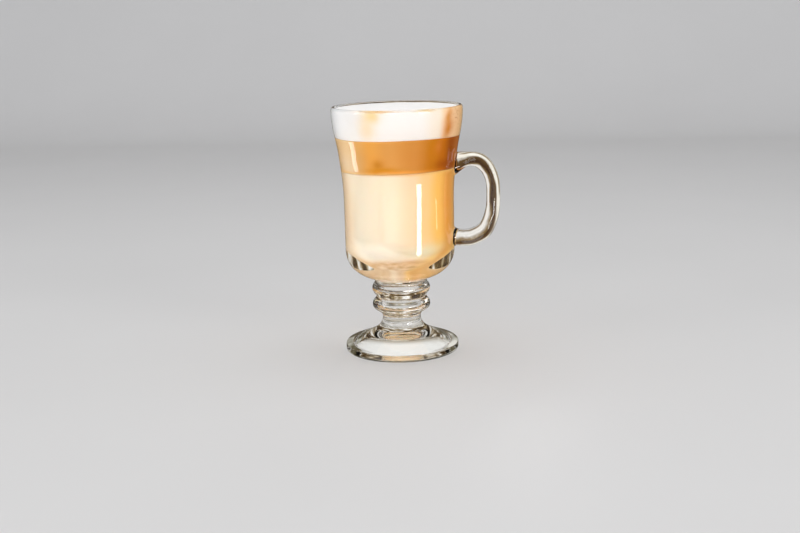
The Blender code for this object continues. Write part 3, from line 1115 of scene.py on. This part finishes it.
# A painted pool of light: the disc glows white in front and beige where the drink shades it.
def light_under_foot(tree, place):
    """White x (1 - share) + beige x share; the share rises from 6 mm in front of the axis to
    14 mm behind it."""
    share = node(tree, "ShaderNodeMapRange",
                 {0: parts_of(tree, place)[1], 1: -6 * MM, 2: 14 * MM})
    return blend(tree, share, (0.90, 0.90, 0.88), (0.50, 0.46, 0.40))


def clouds_under_ring(tree, place):
    """Noise through a ramp from dark olive to a warm grey."""
    cloud = node(tree, "ShaderNodeTexNoise", {"Vector": place, "Scale": 70.0, "Detail": 2.0})
    return ramp(tree, cloud, [(0.40, (0.10, 0.085, 0.045)), (0.50, (0.34, 0.33, 0.27)),
                              (0.62, (0.85, 0.83, 0.77))], 'LINEAR')


def flat_rings(radii, up, sides=48):
    """Points and faces of flat rings round the axis, from the first radius to the last."""
    angle = np.arange(sides) * 2 * math.pi / sides
    rings = [np.column_stack([AXIS_X + radius * np.cos(angle), radius * np.sin(angle),
                              np.full(sides, up)]) for radius in radii]
    return np.vstack(rings), ring_faces(0, len(radii), sides).tolist()


glass_only("light_under_foot", *flat_rings((0.1 * MM, 0.97 * HOLLOW_RADIUS), SHEET_HEIGHT),
           light_under_foot)
glass_only("clouds_under_ring", *flat_rings((1.01 * HOLLOW_RADIUS, RING_EDGE), SHEET_HEIGHT),
           clouds_under_ring)

# %% [markdown]
# The handle is a thick rod, which works as a strong lens along its whole loop: each of its
# sides shows what stands behind the other side. To get the photograph's white, brown and
# pale bands along the rod, a glowing oval card stands behind it, painted in rings of light
# and dark about the loop's middle, which only rays from the glass see. It is cut off beside
# the bowl, so that only the handle's rays meet it.

# %% Card behind the handle
LOOP_X, LOOP_Z, LOOP_TALLNESS = AXIS_X + 38.0 * MM, 92.0 * MM, 1.25
CARD_RADIUS, CARD_BEHIND, CARD_CUT = 43 * MM, 26 * MM, 13 * MM


def cards_behind_handle(tree, place):
    """Rings about the handle's loop, by hypot(x away, z away / 1.25): the rod turns the view
    over, so the white middle is seen in its outer half and the outer ring in its inner half."""
    away = node(tree, "ShaderNodeVectorMath", {0: place, 1: (LOOP_X, 0.0, LOOP_Z)},
                operation='SUBTRACT')
    flat = node(tree, "ShaderNodeVectorMath", {0: away, 1: (1.0, 0.0, 1.0 / LOOP_TALLNESS)},
                operation='MULTIPLY')
    reach = node(tree, "ShaderNodeVectorMath", {0: flat}, out=1, operation='LENGTH')
    reach = wobbled(tree, reach, place, 110.0, 9.0 * MM, 4.0)
    share = maths(tree, 'DIVIDE', reach, 50 * MM)
    return ramp(tree, share, [
        (0.04, (0.30, 0.22, 0.11)), (0.10, (1.0, 0.96, 0.88)), (0.22, (0.95, 0.90, 0.80)),
        (0.28, (0.14, 0.08, 0.03)), (0.38, (0.05, 0.022, 0.012)), (0.44, (0.26, 0.17, 0.07)),
        (0.50, (0.85, 0.82, 0.78)), (0.62, (0.95, 0.93, 0.90)), (0.74, (0.16, 0.10, 0.04)),
        (0.90, (0.45, 0.38, 0.26))], 'LINEAR')


def oval_card(sides=64):
    """Point = loop's middle + (radius x cos a, but not past the cut, radius x 1.25 x sin a)."""
    turn = np.arange(sides) * 2 * math.pi / sides
    points = np.column_stack([
        LOOP_X + np.maximum(CARD_RADIUS * np.cos(turn), -CARD_CUT), np.full(sides, CARD_BEHIND),
        LOOP_Z + CARD_RADIUS * LOOP_TALLNESS * np.sin(turn)])
    return points, [list(range(sides))]


glass_only("cards_behind_handle", *oval_card(), cards_behind_handle, mirrored=False)

# %% [markdown]
# Four soft lamps light the drink: the key in front, a little to the left and above the mug;
# one at each side, the right one stronger; and one overhead that whitens the foam. A small
# low lamp in front of the foot shines up at the bowl's rounded bottom, which the others leave
# dark. It isn't seen itself, neither straight nor in the glass.

# %% Lamps
def softbox(name, place, target, width, height, power, colour=(1.0, 1.0, 1.0)):
    """A rectangular lamp of width x height metres and some watts, turned to its target."""
    data = bpy.data.lights.new(name, 'AREA')
    data.shape = 'RECTANGLE'
    data.size, data.size_y = width, height
    data.energy = power
    data.color = colour
    lamp = bpy.data.objects.new(name, data)
    bpy.context.collection.objects.link(lamp)
    lamp.location = place
    way = Vector(target) - lamp.location
    lamp.rotation_euler = way.to_track_quat('-Z', 'Y').to_euler()
    return lamp


MIDDLE = (AXIS_X, 0.0, 0.09)
softbox("key", (-0.30, -1.25, 0.55), MIDDLE, 0.8, 0.6, 2.75, (1.0, 0.99, 0.97))
softbox("side", (1.0, -0.75, 0.45), MIDDLE, 0.5, 0.6, 4.2)
softbox("left", (-1.1, -0.6, 0.45), MIDDLE, 0.5, 0.6, 2.4)
softbox("top", (0.0, 0.15, 1.1), MIDDLE, 0.9, 0.7, 2.7)
low_lamp = softbox("low", (AXIS_X, -0.10, 0.004), (AXIS_X, -0.099, 1.0), 0.30, 0.14, 0.42)
low_lamp.visible_camera = low_lamp.visible_glossy = low_lamp.visible_transmission = False

# %% [markdown]
# The photograph has narrow highlights on the bowl: a bright upright one on the milk, a short
# leaning one on the coffee and a thin faint one beside the handle. Each is the mirror image of
# a bright strip, so the strips are found backwards: from the lens to the highlight's corner on
# the glass, and off it by the law of reflection.

# %% Mirror strips
STRIP_REACH = 0.08


def mirror_point(degrees, up, reach):
    """A point on the glass is P, its normal n = (sin t, -cos t, -slope), the sight line d: the
    mirrored way is d - 2 (d . n) n, and the answer lies on it, a reach away from P. Here t is
    counted from the mug's own front, -Y, towards the handle."""
    t = math.radians(degrees)
    outwards = np.array([math.sin(t), -math.cos(t), 0])
    slope = (outside_radius(up + MM) - outside_radius(up - MM)) / (2 * MM)
    point = np.array([AXIS_X, 0.0, up]) + outside_radius(up) * outwards
    normal = np.array([math.sin(t), -math.cos(t), -slope])
    normal /= np.linalg.norm(normal)
    sight = point - np.array(bpy.context.scene.camera.matrix_world.translation)
    sight /= np.linalg.norm(sight)
    away = sight - 2 * (sight @ normal) * normal
    return point + away * reach / np.linalg.norm(away[:2])


def mirror_card(name, corners, brightness, reach=STRIP_REACH):
    """A glowing strip that only reflections see; corners are (turn, height) on the glass."""
    points = [mirror_point(*corner, reach).tolist() for corner in corners]
    mesh = bpy.data.meshes.new(name)
    mesh.from_pydata(points, [], [(0, 1, 2, 3)])
    card = put(name, mesh)
    material, tree, shader = new_material(name)
    glow = node(tree, "ShaderNodeEmission", {"Strength": brightness})
    tree.links.new(glow, tree.nodes["Material Output"].inputs["Surface"])
    mesh.materials.append(material)
    card.visible_camera = card.visible_diffuse = card.visible_transmission = False
    card.visible_shadow = card.visible_volume_scatter = False


for strip, brightness, corners in (
        ("milk_strip", 15.0, [(24.0, 0.103), (28.8, 0.1028), (27.6, 0.0624), (22.8, 0.0627)]),
        ("coffee_strip", 5.5, [(-43.5, 0.1281), (-37.0, 0.1283), (-35.5, 0.1113), (-41.0, 0.1110)]),
        ("thin_strip", 4.0, [(46.3, 0.0935), (47.8, 0.0935), (47.8, 0.0765), (46.3, 0.0765)])):
    mirror_card(strip, corners, brightness)
    print(strip, "shines on the glass from", corners[0], "to", corners[2])
